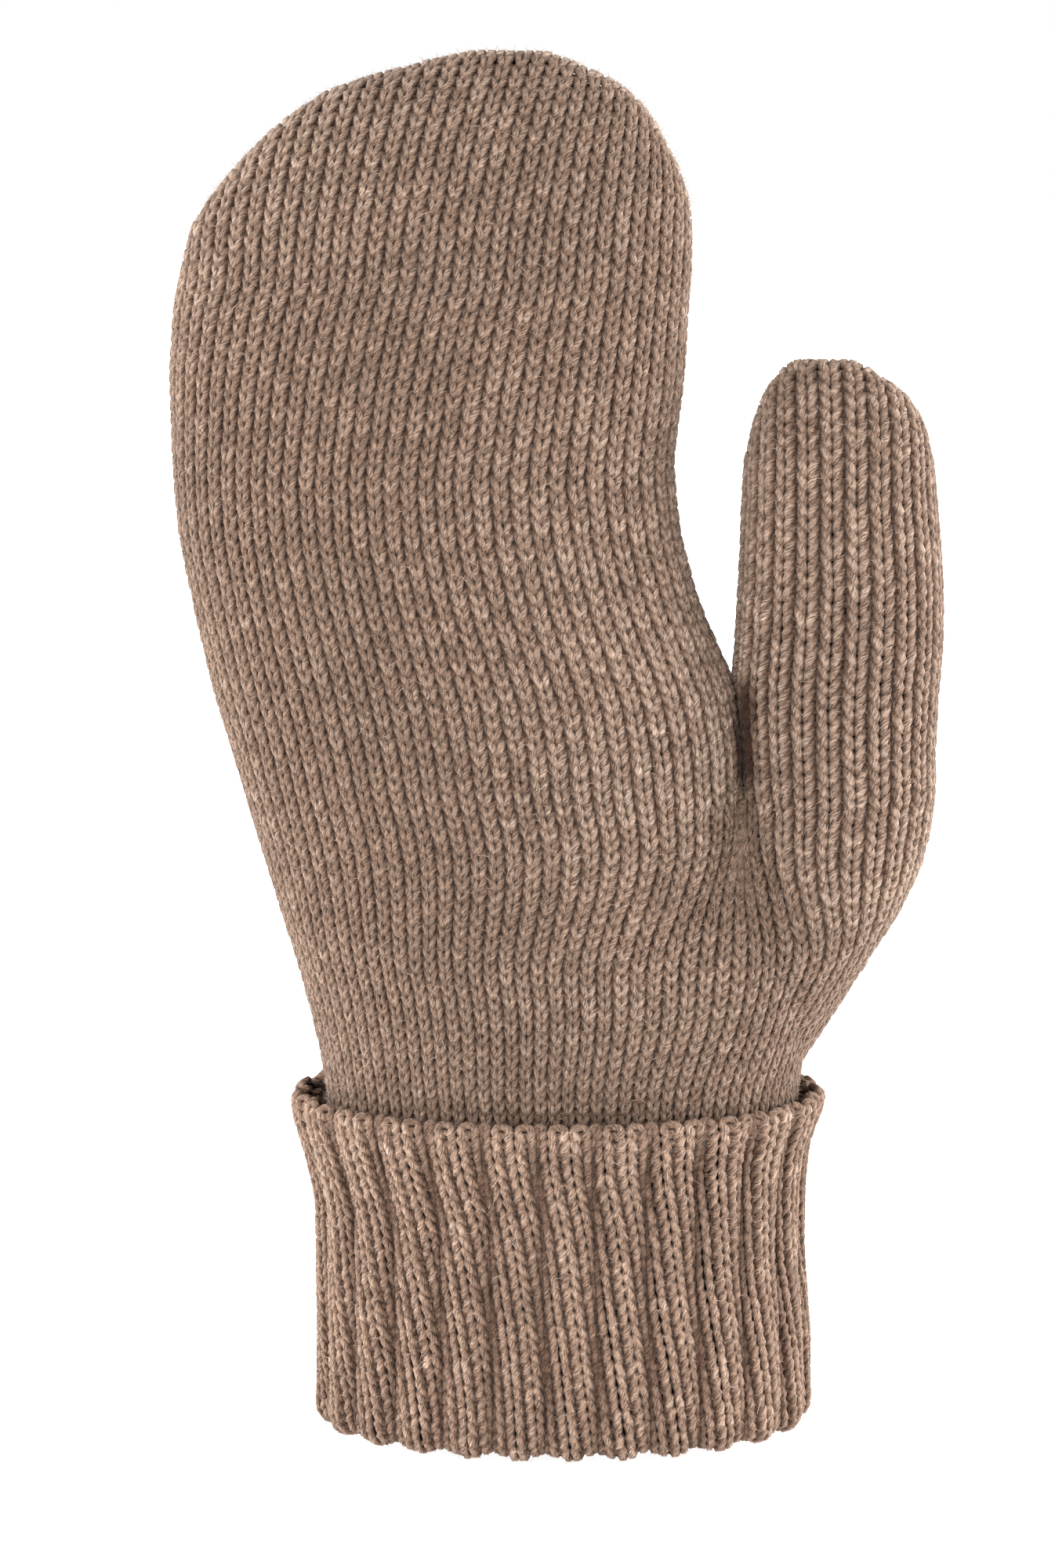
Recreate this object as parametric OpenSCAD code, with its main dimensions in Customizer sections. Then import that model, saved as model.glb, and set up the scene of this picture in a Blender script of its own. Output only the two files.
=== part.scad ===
// Knitted wool mitten with a turned-up rib cuff. It stands on the fold of
// the cuff: fingers up (+Z), thumb to +X, palm side to -Y. Millimetres.

/* [Whole mitten] */
// Height from the fold of the cuff to the tip of the fingers
mitten_len = 258; // [236:1:276]
// Widest width of the hand
hand_w = 96; // [88:0.5:104]
// Thickness of the stuffed hand across the palm
hand_d = 50; // [42:1:58]

/* [Thumb] */
// Width of the thumb
thumb_w = 36.5; // [32:0.5:40]
// Thickness of the thumb
thumb_d = 34; // [28:1:38]

/* [Cuff] */
// Height of the turned-up part of the cuff
cuff_h = 64; // [58:1:66]
// Width of the cuff at its rim
cuff_w = 98; // [92:0.5:104]
// Depth of the cuff at its rim
cuff_d = 64; // [60:1:72]

/* [Cloth] */
// Thickness of the plain knit of the hand and thumb
knit_t = 3.4; // [2.4:0.2:4]
// Thickness of one ply of the ribbed cuff
rib_t = 3.4; // [2.6:0.2:4]
// Thickness of the linked seams over the tips
seam_d = 2.6; // [2:0.2:3.2]
// Air between neighbouring pieces
gap = 0.3; // [0.2:0.1:0.6]

/* [Hidden] */
sides = 48;
wool = [0.56, 0.47, 0.41];
wool_dark = [0.50, 0.41, 0.35];
wool_light = [0.62, 0.53, 0.46];

sz = mitten_len / 258;
sx = hand_w / 96;
sy = hand_d / 50;
tx = thumb_w / 36.5;
ty = thumb_d / 34;
cx = cuff_w / 98;
cy = cuff_d / 64;

fold_h = 4.6;
ply_w = rib_t * 2 + gap;
edge_d = 3.2;

// Heights where one section of the knitted tube ends and the next begins
wrist_z0 = cuff_h + gap;
wrist_z1 = 84 * sz;
crotch_z = 118 * sz;
knuckle_z0 = 152 * sz;
knuckle_z1 = 168 * sz;
curl_z0 = 198 * sz;
curl_z1 = 212 * sz;
base_z1 = 132 * sz;
bend_z0 = 158 * sz;
bend_z1 = 171 * sz;

// Hand tube: [height, left edge, right edge, half depth]
hand_rows = [
    for (r = [
        [118, -57.0, 34.3, 25.0],
        [124, -58.8, 33.6, 24.8],
        [141, -63.7, 32.1, 24.4],
        [147, -65.1, 29.7, 24.0],
        [157, -67.2, 25.8, 23.4],
        [169, -69.5, 22.6, 22.4],
        [181, -70.4, 21.2, 21.6],
        [198, -70.8, 23.3, 20.6],
        [210, -69.9, 24.0, 19.6],
        [225, -67.4, 25.0, 17.4]
    ]) [r[0] * sz, r[1] * sx, r[2] * sx, r[3] * sy]
];

// Wrist, from the cuff up to the start of the gusset
wrist_rows = [
    for (r = [
        [58, -43.0, 45.4, 27.8],
        [66, -43.4, 45.9, 27.6],
        [72, -44.3, 47.6, 27.4],
        [78, -45.6, 51.0, 27.0],
        [84, -47.1, 54.4, 26.8]
    ]) [r[0] * sz, r[1] * sx, r[2] * sx, r[3] * sy]
];

// Closing part of the hand, measured inside the seam
tip_rows = [
    for (r = [
        [210, -69.9, 24.0, 19.6],
        [213, -69.0, 23.4, 19.3],
        [218, -66.2, 22.0, 18.4],
        [226, -62.6, 21.2, 16.8],
        [233, -57.8, 19.6, 14.8],
        [239, -52.6, 17.0, 12.8],
        [245, -45.4, 12.8, 10.6],
        [249, -38.2, 8.6, 8.4],
        [251.5, -31.0, 4.6, 7.0]
    ]) [r[0] * sz, r[1] * sx, r[2] * sx, r[3] * sy]
];
tip_apex = [-12 * sx, 0, 254.4 * sz];

// Outline that the seam follows over the fingertips
tip_path = [
    for (p = [
        [-68.6, 217], [-66.6, 223], [-63.2, 229.4], [-58.2, 236.2],
        [-52.0, 242.4], [-44.6, 248.4], [-36.4, 252.4], [-27.0, 255.0],
        [-16.0, 256.5], [-6.0, 256.7], [1.6, 255.6], [7.6, 252.8],
        [12.6, 248], [16.8, 242.6], [19.6, 238], [22.6, 231],
        [23.6, 225], [23.9, 219]
    ]) [p[0] * sx, p[1] * sz]
];

// Thumb tube: [height, left edge, right edge, half depth]
thumb_mid = 52.25 * sx;
thumb_rows = [
    for (r = [
        [118, -17.3, 17.3, 17.0],
        [124, -18.0, 17.4, 17.0],
        [141, -19.2, 17.9, 17.0],
        [150, -19.8, 18.55, 16.9],
        [160, -19.4, 18.4, 16.7],
        [173, -19.0, 17.1, 16.2],
        [182, -18.4, 16.4, 15.6]
    ]) [r[0] * sz, thumb_mid + r[1] * tx, thumb_mid + r[2] * tx, r[3] * ty]
];
thumb_tip_rows = [
    for (r = [
        [173, -18.9, 17.0, 16.2],
        [178, -16.6, 14.6, 15.4],
        [184, -15.4, 13.4, 13.8],
        [189, -14.0, 11.4, 11.6],
        [193, -11.6, 8.0, 9.2],
        [195.5, -9.0, 4.6, 7.4]
    ]) [r[0] * sz, thumb_mid + r[1] * tx, thumb_mid + r[2] * tx, r[3] * ty]
];
thumb_apex = [thumb_mid - 3.6 * tx, 0, 197.8 * sz];
thumb_path = [
    for (p = [
        [-18.2, 178], [-17.0, 184.5], [-15.6, 190], [-13.2, 194.6],
        [-10.0, 198], [-5.4, 199.8], [-0.6, 199.7], [4.4, 198.2],
        [9.0, 195], [12.6, 190.4], [14.9, 184.6], [16.2, 178]
    ]) [thumb_mid + p[0] * tx, p[1] * sz]
];

// Thumb gusset under the crotch, before it merges with the palm
gusset_rows = [
    for (r = [
        [84, 16.0, 54.4, 18.0],
        [90, 19.6, 58.0, 18.0],
        [98, 24.4, 63.0, 18.0],
        [107, 27.4, 67.1, 17.8],
        [118, 28.0, 69.5, 17.4]
    ]) [r[0] * sz, r[1] * sx, r[2] * sx, r[3] * ty]
];
palm_rows = [
    for (r = [
        [84, -47.1, 43.5, 26.8],
        [90, -48.6, 42.0, 26.5],
        [98, -51.2, 40.4, 26.0],
        [107, -53.5, 39.6, 25.6],
        [118, -57.0, 39.4, 25.0]
    ]) [r[0] * sz, r[1] * sx, r[2] * sx, r[3] * sy]
];

// Turned-up cuff, outer face
cuff_rows = [
    for (r = [
        [0, -44.0, 46.6, 30.0],
        [15, -44.3, 46.9, 30.6],
        [35, -44.4, 45.3, 29.8],
        [45, -44.7, 45.5, 30.2],
        [55, -46.9, 46.6, 31.2],
        [64, -48.8, 49.2, 32.0]
    ]) [r[0] * cuff_h / 64, r[1] * cx, r[2] * cx, r[3] * cy]
];

// One value of a table of rows at height z
function at(rows, z, k) = lookup(z, [for (r = rows) [r[0], r[k]]]);

// Half depth of an oval from xl to xr at x; n = 2 is an ellipse
function oval(x, xl, xr, b, n) =
    let (u = abs(x - (xl + xr) / 2) / ((xr - xl) / 2))
    u >= 1 ? 0 : b * pow(1 - pow(u, n), 1 / n);

// Row of the table at height z, drawn in by t on every side
function row(rows, z, t) =
    [z, at(rows, z, 1) + t, at(rows, z, 2) - t, at(rows, z, 3) - t];

// Closed ring of points round one row, lifted to height h
function ring(r, h, n = 2.3) = [
    for (i = [0 : sides - 1])
        let (
            c = cos(360 * i / sides),
            s = sign(round(1e6 * sin(360 * i / sides))),
            x = (r[1] + r[2]) / 2 + (r[2] - r[1]) / 2 * c
        )
        [x, s * oval(x, r[1], r[2], r[3], n), h]
];

// Ring round two rows side by side, blended where they meet
function twin_ring(a, b, h) = [
    for (i = [0 : sides - 1])
        let (
            c = cos(360 * i / sides),
            s = sign(round(1e6 * sin(360 * i / sides))),
            x = (a[1] + b[2]) / 2 + (b[2] - a[1]) / 2 * c,
            fa = oval(x, a[1], a[2], a[3], 2.3),
            fb = oval(x, b[1], b[2], b[3], 2.1)
        )
        [x, s * pow(pow(fa, 3) + pow(fb, 3), 1 / 3), h]
];

function quads(k, m, n) = [
    for (i = [0 : n - 1])
        [k * n + i, k * n + (i + 1) % n, m * n + (i + 1) % n, m * n + i]
];

// Skin through a list of rings that closes on itself, like a tube wall
module tube_wall(rings) {
    n = len(rings[0]);
    c = len(rings);
    points = [for (r = rings) each r];
    faces = [for (k = [0 : c - 1]) each quads((k + 1) % c, k, n)];
    polyhedron(points, tri(faces));
}

// Skin from an inner apex down and over the rim to an outer apex
module cap_wall(rings, inner_apex, outer_apex) {
    n = len(rings[0]);
    c = len(rings);
    points = concat([for (r = rings) each r], [inner_apex, outer_apex]);
    faces = concat(
        [for (k = [0 : c - 2]) each quads(k + 1, k, n)],
        [for (i = [0 : n - 1]) [i, (i + 1) % n, n * c]],
        [for (i = [0 : n - 1])
            [(c - 1) * n + (i + 1) % n, (c - 1) * n + i, n * c + 1]]
    );
    polyhedron(points, tri(faces));
}

// Every face as triangles, wound outwards
function tri(faces) = [
    for (f = faces)
        each len(f) == 3
            ? [[f[2], f[1], f[0]]]
            : [[f[2], f[1], f[0]], [f[3], f[2], f[0]]]
];

// Open tube between two heights of a table
module section(rows, z0, z1, steps, t = knit_t, n = 2.3) {
    up = [for (i = [0 : steps]) z0 + (z1 - z0) * i / steps];
    down = [for (i = [0 : steps]) z1 + (z0 - z1) * i / steps];
    tube_wall(concat(
        [for (z = up) ring(row(rows, z, 0), z, n)],
        [for (z = down) ring(row(rows, z, t), z, n)]
    ));
}

// Domed end of a tube: an inner and an outer dome joined at the open end
module dome(rows, z0, apex, t = knit_t) {
    zs = [for (r = rows) if (r[0] > z0) r[0]];
    top = zs[len(zs) - 1];
    k = (top - t - z0) / (top - z0);
    cap_wall(
        concat(
            [for (i = [len(zs) - 1 : -1 : 0])
                ring(row(rows, zs[i], t), z0 + (zs[i] - z0) * k)],
            [ring(row(rows, z0, t), z0)],
            [ring(row(rows, z0, 0), z0)],
            [for (z = zs) ring(row(rows, z, 0), z)]
        ),
        [apex[0], 0, apex[2] - t - 0.6],
        apex
    );
}

// Round cord along a path in the XZ plane, with pointed ends
module cord(path, d) {
    m = len(path);
    k = 12;
    rings = [
        for (i = [0 : m - 1])
            let (
                a = path[max(i - 1, 0)],
                b = path[min(i + 1, m - 1)],
                v = (b - a) / norm(b - a),
                nx = -v[1],
                nz = v[0],
                f = i == 0 || i == m - 1 ? 0.55 : 1
            )
            [for (j = [0 : k - 1])
                let (p = d / 2 * f * cos(360 * j / k), q = d / 2 * f * sin(360 * j / k))
                [path[i][0] + nx * p, q, path[i][1] + nz * p]]
    ];
    points = [for (r = rings) each r];
    faces = concat(
        [for (i = [0 : m - 2]) each quads(i + 1, i, k)],
        [[for (j = [0 : k - 1]) j]],
        [[for (j = [k - 1 : -1 : 0]) (m - 1) * k + j]]
    );
    polyhedron(points, faces);
}

module oval_2d(r) {
    polygon([for (p = ring(r, 0, 2)) [p[0], p[1]]]);
}

// Ribbed ply that lines the turn-up and runs on into the wrist
module cuff_inner() {
    color(wool_dark)
        section(
            [for (r = cuff_rows)
                [r[0], r[1] + rib_t + gap, r[2] - rib_t - gap, r[3] - rib_t - gap]],
            fold_h + gap, cuff_h, 10, rib_t, 2
        );
}

// Bottom edge, where the ribbing turns up on itself and the mitten stands
module cuff_fold() {
    color(wool)
        linear_extrude(fold_h)
            difference() {
                oval_2d(row(cuff_rows, 0, 0));
                oval_2d(row(cuff_rows, 0, ply_w));
            }
}

// Outer ply of the cuff, turned up over the inner one
module cuff_turnup() {
    color(wool)
        section(cuff_rows, fold_h + gap, cuff_h - edge_d - gap, 12, rib_t, 2);
}

// Soft rolled edge along the top of the turn-up
module cuff_edge() {
    w = edge_d;
    color(wool_light)
        tube_wall([
            for (a = [0 : 30 : 330])
                ring(
                    row(cuff_rows, cuff_h, w / 2 - w / 2 * cos(a)),
                    cuff_h - w / 2 + w / 2 * sin(a), 2
                )
        ]);
}

// Soft wrist, where the hand bends on the cuff
module wrist_band() {
    color(wool) section(wrist_rows, wrist_z0, wrist_z1 - gap, 4);
}

// Lower palm with the thumb gusset, knitted in one
module gusset_shell() {
    zs = [for (i = [0 : 8]) wrist_z1 + (crotch_z - wrist_z1) * i / 8];
    color(wool)
        tube_wall(concat(
            [for (z = zs) twin_ring(row(palm_rows, z, 0), row(gusset_rows, z, 0), z)],
            [for (i = [8 : -1 : 0])
                twin_ring(row(palm_rows, zs[i], knit_t), row(gusset_rows, zs[i], knit_t), zs[i])]
        ));
}

// Upper palm, from the crotch of the thumb to the knuckles
module palm_shell() {
    color(wool) section(hand_rows, crotch_z + gap, knuckle_z0, 7);
}

// Cloth that creases when the fingers bend at the knuckles
module knuckle_band() {
    color(wool) section(hand_rows, knuckle_z0 + gap, knuckle_z1 - gap, 4);
}

// Tube round the fingers
module finger_shell() {
    color(wool) section(hand_rows, knuckle_z1, curl_z0, 6);
}

// Cloth that creases when the fingertips curl
module curl_band() {
    color(wool) section(hand_rows, curl_z0 + gap, curl_z1 - gap, 4);
}

// Closed end of the mitten over the fingertips
module tip_shell() {
    color(wool) dome(tip_rows, curl_z1, tip_apex);
}

// Linked seam that closes the fingertips from corner to corner
module tip_seam() {
    color(wool_light) cord(tip_path, seam_d);
}

// Cloth round the root of the thumb, which lets the thumb spread
module thumb_base() {
    color(wool) section(thumb_rows, crotch_z + gap, base_z1 - gap, 4);
}

// Tube round the thumb
module thumb_shell() {
    color(wool) section(thumb_rows, base_z1, bend_z0, 5);
}

// Cloth that creases when the end of the thumb bends
module thumb_bend() {
    color(wool) section(thumb_rows, bend_z0 + gap, bend_z1 - gap, 4);
}

// Closed end of the thumb
module thumb_cap() {
    color(wool) dome(thumb_tip_rows, bend_z1, thumb_apex);
}

// Linked seam that closes the end of the thumb
module thumb_seam() {
    color(wool_light) cord(thumb_path, seam_d);
}

cuff_inner();
cuff_fold();
cuff_turnup();
cuff_edge();
wrist_band();
gusset_shell();
palm_shell();
knuckle_band();
finger_shell();
curl_band();
tip_shell();
tip_seam();
thumb_base();
thumb_shell();
thumb_bend();
thumb_cap();
thumb_seam();
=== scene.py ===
"""Knitted wool mitten with a turned-up rib cuff. Every stitch is a loop of yarn laid over the shape of the CAD."""

import math

import bpy
import numpy as np
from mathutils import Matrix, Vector


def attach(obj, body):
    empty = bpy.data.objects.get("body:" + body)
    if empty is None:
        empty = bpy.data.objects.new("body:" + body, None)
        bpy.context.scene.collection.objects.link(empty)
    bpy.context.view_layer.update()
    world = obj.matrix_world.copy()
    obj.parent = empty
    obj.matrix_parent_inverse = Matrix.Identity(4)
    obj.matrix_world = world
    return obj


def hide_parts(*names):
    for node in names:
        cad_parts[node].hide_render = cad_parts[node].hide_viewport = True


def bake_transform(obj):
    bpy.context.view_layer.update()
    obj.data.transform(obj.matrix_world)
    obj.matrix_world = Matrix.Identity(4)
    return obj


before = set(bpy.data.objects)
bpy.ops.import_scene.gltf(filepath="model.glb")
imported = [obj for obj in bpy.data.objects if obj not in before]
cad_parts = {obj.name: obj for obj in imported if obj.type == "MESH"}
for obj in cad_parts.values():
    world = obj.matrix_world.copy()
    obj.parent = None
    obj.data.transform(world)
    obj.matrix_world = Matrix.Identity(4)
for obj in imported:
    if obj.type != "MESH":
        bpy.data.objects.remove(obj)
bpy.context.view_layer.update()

MM = 0.001
rng = np.random.default_rng(11)

HAND = 34  # wales across the front of the hand
THUMB = 12  # wales across the front of the thumb
RIBS = 25  # ribs round the cuff, two raised wales and a sunk one each
RIB_WALES = 3  # wales in a rib

# heights, mm
WRIST_FOOT = 60.0  # where the wrist starts, behind the cuff's rim
WRIST_TOP = 92.5  # where the wrist ends and the gusset piece starts
CROTCH = 121.0  # where the thumb leaves the hand
HAND_SPLIT = 184.0  # where the palm's piece ends and the fingers' starts
TIP = 215.0  # where the closing seam of the hand starts
HAND_TOP = 256.0  # where the knitting of the hand ends, under its seam
THUMB_SPLIT = 152.0  # where the thumb's lower piece ends
THUMB_TIP = 176.0  # where the closing seam of the thumb starts
THUMB_TOP = 200.5  # where the knitting of the thumb ends, under its seam

CREASE = 33.95  # x of the crease between the hand and the thumb, mm
HAND_POWER, GUSSET_POWER, CUFF_POWER = 2.3, 2.1, 2.08  # of the ovals that their sections are


# ---------------------------------------------------------------- shapes


def smooth(t):
    t = np.clip(t, 0, 1)
    return t * t * (3 - 2 * t)


def unit(v):
    return v / (np.linalg.norm(v, axis=-1, keepdims=True) + 1e-9)


def curve(table, k, z):
    """Column k of a table of [height, ...] at height z, smoothed over a few mm."""
    table = np.array(table, float)
    total = 0
    for step, share in ((-3, 0.2), (0, 0.6), (3, 0.2)):
        total = total + share * np.interp(z + step, table[:, 0], table[:, k])
    return total


def measures(table, z):
    """Left, right and half depth at height z."""
    return [curve(table, k, z) for k in (1, 2, 3)]


def spaced(left, right, count):
    """x from left to right, closer together towards both ends."""
    return (left + right) / 2 - (right - left) / 2 * np.cos(np.linspace(0, np.pi, count))


def oval(x, left, right, depth, n):
    u = np.abs((x - (left + right) / 2) / ((right - left) / 2))
    return depth * np.clip(1 - np.clip(u, 0, 1) ** n, 0, 1) ** (1 / n)


def even(x, y, count):
    """The line x, y resampled to count points at even arc length, and its length."""
    s = np.concatenate([[0], np.cumsum(np.hypot(np.diff(x), np.diff(y)))])
    at = np.linspace(0, s[-1], count)
    return np.interp(at, s, x), np.interp(at, s, y), s[-1]


def lookup(table, i, j):
    """table[i, j, :] at fractional i and j."""
    i = np.clip(i, 0, table.shape[0] - 1.0001)
    j = np.clip(j, 0, table.shape[1] - 1.0001)
    a, b = i.astype(int), j.astype(int)
    u, v = (i - a)[..., None], (j - b)[..., None]
    low = table[a, b] * (1 - v) + table[a, b + 1] * v
    high = table[a + 1, b] * (1 - v) + table[a + 1, b + 1] * v
    return low * (1 - u) + high * u


class Knit:
    """A knitted tube. place(q, z) gives points and outward normals, mm, where q counts wales from the left edge,
    across the front and round the back. share(tube, i, q) is where the front wales of section i lie along the
    front half, 0 to 1."""

    STEP = 0.5  # mm between sections
    FINE = 200  # steps along the front half of a section
    PER_WALE = 4  # samples of share in a wale

    def __init__(self, z0, z1, section, wales, share):
        self.z0, self.wales = z0, wales
        self.zs = np.arange(z0, z1 + self.STEP / 2, self.STEP)
        rings, lengths = [], []
        for z in self.zs:
            x, y, length = even(*section(z), self.FINE + 1)
            rings.append(np.stack([x, y, np.full(x.shape, z)], -1))
            lengths.append(length)
        self.build(rings, lengths)
        q = np.arange(0, wales + 0.01, 1 / self.PER_WALE)
        self.raw = np.array([share(self, i, q) for i in range(len(self.zs))])[..., None]

    def build(self, rings, lengths, up=1):
        """The table of points and outward normals. up is -1 where the sections run down the outside."""
        self.points, self.length = np.array(rings), np.array(lengths)
        across = np.gradient(self.points, axis=1)
        across[:, 0], across[:, -1] = [0, -1, 0], [0, 1, 0]
        along = up * np.gradient(self.points, axis=0)
        self.table = np.concatenate([self.points, unit(np.cross(across, along))], -1)

    def row(self, z):
        return (z - self.z0) / self.STEP

    def fold(self, q):
        """Wale on the front half, and whether q is on the back half."""
        q = np.mod(q, 2 * self.wales)
        back = q > self.wales
        return np.where(back, 2 * self.wales - q, q), back

    def where(self, q, z):
        """Share of the half section, before it is cut off at the edges."""
        q, _ = self.fold(q)
        return lookup(self.raw, self.row(z) + 0 * q, q * self.PER_WALE)[..., 0]

    def width(self, q, z):
        """Width of a wale there, mm."""
        q, _ = self.fold(q)
        q = np.clip(q, 0.5, self.wales - 0.5)
        i, j, half = self.row(z) + 0 * q, q * self.PER_WALE, self.PER_WALE / 2
        d = lookup(self.raw, i, j + half) - lookup(self.raw, i, j - half)
        return d[..., 0] * np.interp(z, self.zs, self.length)

    def at_share(self, f, z, back):
        t = lookup(self.table, self.row(z) + 0 * f, np.clip(f, 0, 1) * self.FINE)
        t = t * np.where(back[..., None], [1, -1, 1, 1, -1, 1], 1)
        return t[..., :3], t[..., 3:]

    def place(self, q, z):
        _, back = self.fold(q)
        return self.at_share(self.where(q, z), z, back)


# ---------------------------------------------------------------- the three tubes

PALM = [  # height, left, right, half depth
    [56, -42.6, 44.4, 26.4],
    [66, -43.4, 45.4, 26.6],
    [72, -44.3, 46.2, 26.9],
    [78, -45.6, 45.6, 27.1],
    [84, -47.1, 43.9, 26.8],
    [90, -48.7, 42.3, 26.5],
    [98, -51.2, 40.3, 26.1],
    [107, -53.8, 37.8, 25.7],
    [115, -56.2, 35.8, 25.2],
    [121, -57.9, 34.7, 24.9],
    [130, -60.5, 34.8, 24.7],
    [141, -63.7, 32.9, 24.4],
    [147, -65.1, 30.1, 24.0],
    [157, -67.2, 25.8, 23.4],
    [169, -69.5, 22.6, 22.4],
    [181, -70.4, 21.3, 21.6],
    [198, -70.8, 23.3, 20.4],
    [210, -69.9, 24.0, 19.4],
    [217, -68.4, 24.5, 18.6],
    [225, -66.4, 24.5, 17.0],
    [230, -62.8, 23.9, 15.9],
    [235, -58.6, 22.1, 14.6],
    [240, -54.1, 19.4, 12.9],
    [245, -47.7, 16.8, 10.9],
    [249, -42.0, 13.0, 9.0],
    [251.7, -35.2, 9.2, 7.3],
    [253.7, -26.6, 4.8, 5.6],
    [255.1, -18.6, -0.6, 4.0],
    [256.0, -12.0, -5.0, 2.6],
]
GUSSET = [
    [56, 24, 42.0, 8.0],
    [66, 22, 43.5, 9.0],
    [72, 19, 47.2, 12.5],
    [78, 16.5, 51.0, 15.8],
    [84, 16.5, 54.6, 17.6],
    [90, 20, 58.2, 18.0],
    [98, 25, 63.2, 18.0],
    [107, 29.8, 67.4, 17.8],
    [115, 32.6, 69.2, 17.5],
    [121, 33.4, 69.7, 17.3],
]
THUMB_ROWS = [
    [121, 33.4, 69.7, 17.2],
    [130, 32.7, 69.6, 17.1],
    [141, 31.8, 70.2, 17.0],
    [150, 32.3, 70.8, 16.9],
    [160, 32.9, 70.6, 16.7],
    [173, 33.3, 69.5, 16.0],
    [182, 33.7, 68.6, 14.9],
    [187, 34.8, 67.5, 13.4],
    [190.5, 35.9, 66.2, 11.6],
    [194, 37.0, 63.8, 9.6],
    [197, 38.6, 60.3, 7.2],
    [199, 40.6, 56.6, 5.2],
    [200.5, 43.8, 52.0, 3.0],
]


def section(table, n):
    def front(z):
        left, right, depth = measures(table, z)
        x = spaced(left, right, 1201)
        return x, -oval(x, left, right, depth, n)

    return front


def joined(z):
    """Section of the palm with the thumb's gusset, one curve with a crease that deepens towards the crotch."""
    a, b = measures(PALM, z), measures(GUSSET, z)
    x = spaced(a[0], max(a[1], b[1]), 1601)
    k = 3.0  # how sharp the crease between the two ovals is
    y = (oval(x, *a, HAND_POWER) ** k + oval(x, *b, GUSSET_POWER) ** k) ** (1 / k)
    return x, -y


def stretch(u, more):
    """Even shares 0..1 remapped so that the wales towards the thumb are wider."""
    t = np.linspace(0, 1, 201)
    w = 1 + more * smooth((t - 0.4) / 0.5)
    s = np.concatenate([[0], np.cumsum((w[1:] + w[:-1]) / 2)])
    return np.interp(u, t, s / s[-1])


def widening(z):
    """How much wider the hand's wales are towards the thumb, at height z."""
    return np.interp(z, [60, 84, 110, 125, 150, 180, 215], [0, 0.12, 0.3, 0.34, 0.26, 0.22, 0.16])


def across_front(table, n, z, share):
    """x of the front of a section at these shares of its length."""
    x, _, _ = even(*section(table, n)(z), 401)
    return np.interp(share, np.linspace(0, 1, 401), x)


def joined_share(tube, i, q):
    """Below, the wales share the section evenly. Towards the crotch they line up with those of the hand and
    the thumb."""
    z, x = tube.zs[i], tube.points[i, :, 0]
    grid = np.linspace(0, 1, len(x))
    hand_share = stretch(np.clip(q / HAND, 0, 1), widening(z))
    thumb_share = np.clip((q - HAND) / THUMB, 0, 1)
    split = HAND / (HAND + THUMB)
    f = split + (np.interp(CREASE, x, grid) - split) * smooth((min(z, 112.0) - 70) / 40)
    spread = np.where(q <= HAND, f * hand_share, f + (1 - f) * thumb_share)

    right, left, end = curve(PALM, 2, z), curve(GUSSET, 1, z), curve(GUSSET, 2, z)
    hand_x = across_front(PALM, HAND_POWER, z, hand_share)
    hand_x = hand_x - (right - CREASE) * np.clip((hand_x - 5) / (right - 5), 0, 1) ** 2
    thumb_x = across_front(GUSSET, GUSSET_POWER, z, thumb_share)
    mid = (left + end) / 2
    thumb_x = thumb_x + (CREASE - left) * np.clip((mid - thumb_x) / (mid - left), 0, 1) ** 2
    lined = np.interp(np.where(q <= HAND, hand_x, thumb_x), x, grid)
    return spread + (lined - spread) * smooth((z - 90) / (CROTCH - 91))


def drift(z):
    """How far the wales of the hand wander to the right above a height, mm."""
    return np.interp(z, [180, 197, 215, 226, 240, 250, 258], [0, 1.0, 2.8, 4.1, 6.9, 9.6, 12.0])


def zero(z):
    return 0.0


def closing(start, spine, wales, more, move):
    """Wale shares of a tube that closes in a seam: above start the wales keep their width and the seam cuts
    them off. spine is the share that stays where it is, more(z) the widening and move(z) the drift."""

    def share(tube, i, q):
        z, length = tube.zs[i], tube.length[i]
        if z <= start:
            f = stretch(q / wales, more(z))
            return f + move(z) / length * np.sin(np.pi * f)
        k = int(round((start - tube.z0) / tube.STEP))
        f = stretch(q / wales, more(start))
        s = stretch(np.array([spine]), more(start))[0]
        x0 = np.interp(s, np.linspace(0, 1, tube.FINE + 1), tube.points[k, :, 0])
        here = np.interp(x0, tube.points[i, :, 0], np.linspace(0, length, tube.FINE + 1))
        return (here + (f - s) * tube.length[k] + move(z) * np.sin(np.pi * f)) / length

    return share


palm = Knit(56, CROTCH + 4, joined, HAND + THUMB, joined_share)
hand = Knit(CROTCH - 4, HAND_TOP, section(PALM, HAND_POWER), HAND, closing(TIP, 0.6, HAND, widening, drift))
thumb = Knit(
    CROTCH - 4, THUMB_TOP, section(THUMB_ROWS, HAND_POWER), THUMB, closing(THUMB_TIP, 0.47, THUMB, zero, zero)
)

CUFF = [  # height, left, right, half depth
    [0, -45.2, 47.2, 30.4],
    [10, -45.2, 47.7, 30.8],
    [20, -45.2, 47.5, 30.8],
    [35, -45.2, 46.3, 30.3],
    [45, -45.3, 46.4, 30.4],
    [55, -47.7, 47.1, 31.2],
    [60, -49.3, 49.1, 32.0],
    [64, -50.1, 50.5, 32.6],
]
FOLD_R = 3.1  # radius of the fold's middle line
FOLD_FOOT = 1.65  # height of the fold's lowest point
RIM = 64.2  # height of the cuff's free edge
RIB_START = 0.62  # of a wale, from the left edge to the first rib
RIB_DEPTH = 1.7  # how far the sunk wales lie back, mm
SUNK = 2.5  # place of the sunk wale's middle in its rib


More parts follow.
